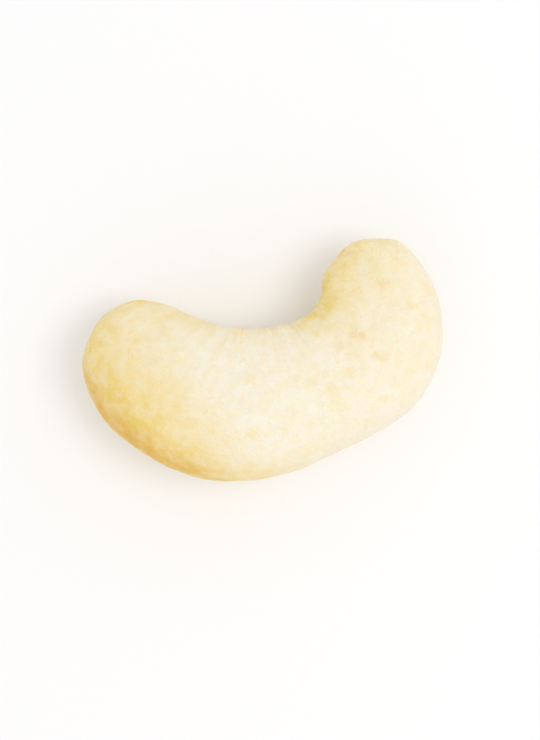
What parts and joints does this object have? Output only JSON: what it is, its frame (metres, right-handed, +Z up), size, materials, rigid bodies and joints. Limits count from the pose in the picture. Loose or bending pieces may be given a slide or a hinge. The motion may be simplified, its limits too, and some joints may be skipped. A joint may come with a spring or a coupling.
{
  "type": "cashew nut",
  "caption": "Whole pale cream cashew kernel, a curved kidney-shaped nut with a blunt lobe, a hooked lobe and a fine seam round its edge, lying on its side.",
  "frame": {"origin": "under the middle of the kernel, on the surface it lies on", "axes": "+X from the blunt lobe to the hooked lobe, +Y the way the notch opens, +Z up, across the seam"},
  "size_m": [0.0268, 0.0152, 0.0098],
  "materials": {
    "kernel": "smooth and matt with a faint oily sheen, pale cream deepening to gold in the hollows"
  },
  "bodies": {
    "root": {"kernel": "kernel"}
  },
  "joints": []
}
